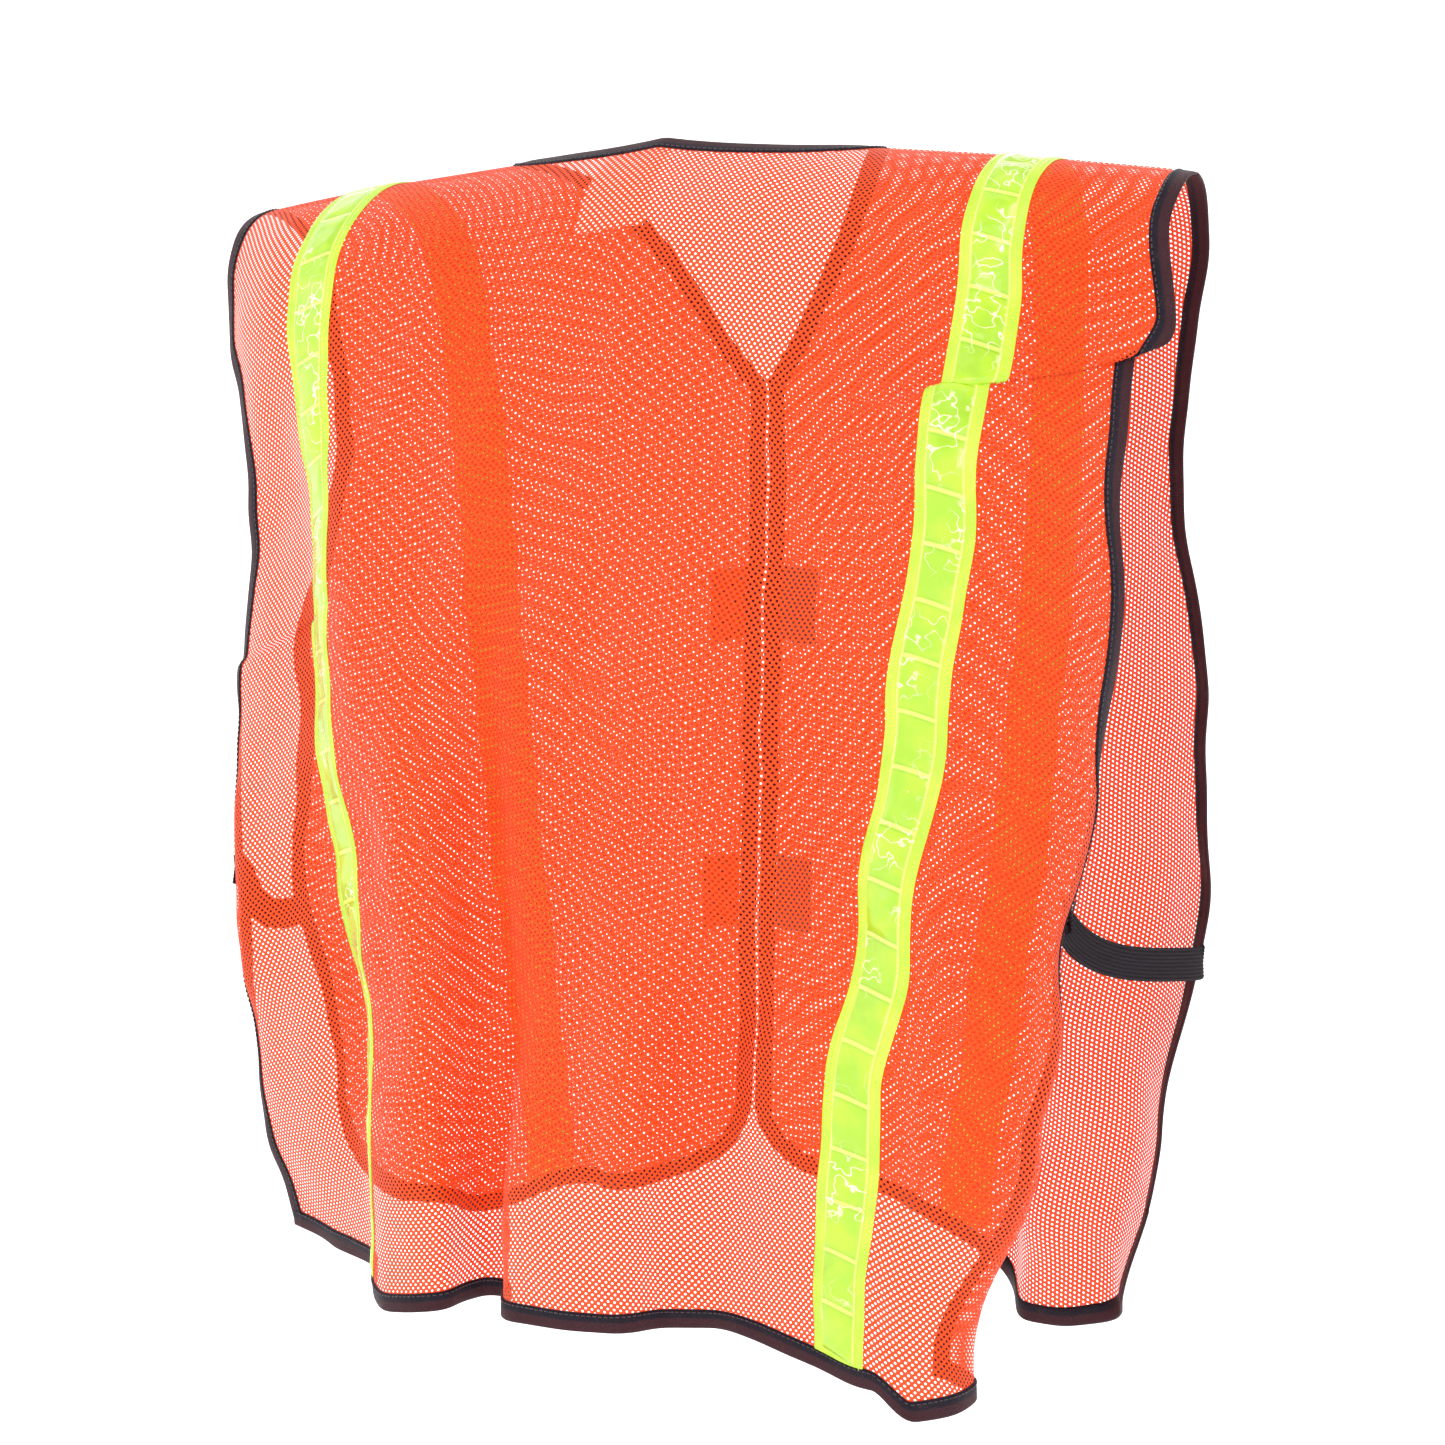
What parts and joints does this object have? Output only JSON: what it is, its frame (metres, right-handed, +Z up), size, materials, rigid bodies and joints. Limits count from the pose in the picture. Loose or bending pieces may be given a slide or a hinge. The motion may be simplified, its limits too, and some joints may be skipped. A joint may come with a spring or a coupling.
{
  "type": "high visibility vest",
  "caption": "Orange mesh safety vest with dark edge binding, lime reflective tapes over both shoulders, elastic side straps and a front opening.",
  "frame": {"origin": "where the line of the two shoulder seams crosses the vest's middle plane", "axes": "+X to the wearer's left, -Y the way the wearer faces, +Z up"},
  "size_m": [0.608, 0.2668, 0.7141],
  "materials": {
    "orange_mesh": "open tricot mesh of bright orange polyester, small round holes",
    "dark_binding": "folded woven edge binding, near black with a maroon edge",
    "lime_vinyl": "lime yellow PVC tape, glossy, stitched edges",
    "prism_film": "moulded clear-faced prismatic film, lime yellow, very glossy",
    "black_elastic": "ribbed knitted elastic",
    "dark_thread": "bar-tack stitching",
    "loop_fastener": "brushed loop fastener",
    "hook_fastener": "moulded hook fastener",
    "label_cloth": "thin white non-woven label, blank",
    "orange_thread": "lockstitch thread"
  },
  "bodies": {
    "back": {"back_hem_binding": "dark_binding", "back_mesh_panel": "orange_mesh", "back_neck_binding": "dark_binding", "care_label_stitching": "orange_thread", "left_back_prism_film": "prism_film", "left_back_side_binding": "dark_binding", "left_back_tape_backing": "lime_vinyl", "left_shoulder_seam": "orange_mesh", "left_side_strap": "black_elastic", "left_strap_back_tack": "dark_thread", "right_back_prism_film": "prism_film", "right_back_side_binding": "dark_binding", "right_back_tape_backing": "lime_vinyl", "right_shoulder_seam": "orange_mesh", "right_side_strap": "black_elastic", "right_strap_back_tack": "dark_thread"},
    "left_front": {"left_front_edge_binding": "dark_binding", "left_front_hem_binding": "dark_binding", "left_front_mesh_panel": "orange_mesh", "left_front_prism_film": "prism_film", "left_front_side_binding": "dark_binding", "left_front_tape_backing": "lime_vinyl", "left_strap_front_tack": "dark_thread", "lower_loop_patch": "loop_fastener", "upper_loop_patch": "loop_fastener"},
    "right_front": {"lower_hook_patch": "hook_fastener", "right_front_edge_binding": "dark_binding", "right_front_hem_binding": "dark_binding", "right_front_mesh_panel": "orange_mesh", "right_front_prism_film": "prism_film", "right_front_side_binding": "dark_binding", "right_front_tape_backing": "lime_vinyl", "right_strap_front_tack": "dark_thread", "upper_hook_patch": "hook_fastener"},
    "label": {"care_label": "label_cloth"}
  },
  "joints": [
    {"name": "left_front_swing", "type": "hinge", "parent": "back", "child": "left_front", "pos_m": [0.304, 0, -0.35], "axis": [0, 0, 1], "range_deg": [0, 70]},
    {"name": "right_front_swing", "type": "hinge", "parent": "back", "child": "right_front", "pos_m": [-0.304, 0, -0.35], "axis": [0, 0, -1], "range_deg": [0, 70]},
    {"name": "label_lift", "type": "hinge", "parent": "back", "child": "label", "pos_m": [0.022, 0.052, -0.0069], "axis": [-1, 0, 0], "range_deg": [0, 100]}
  ]
}
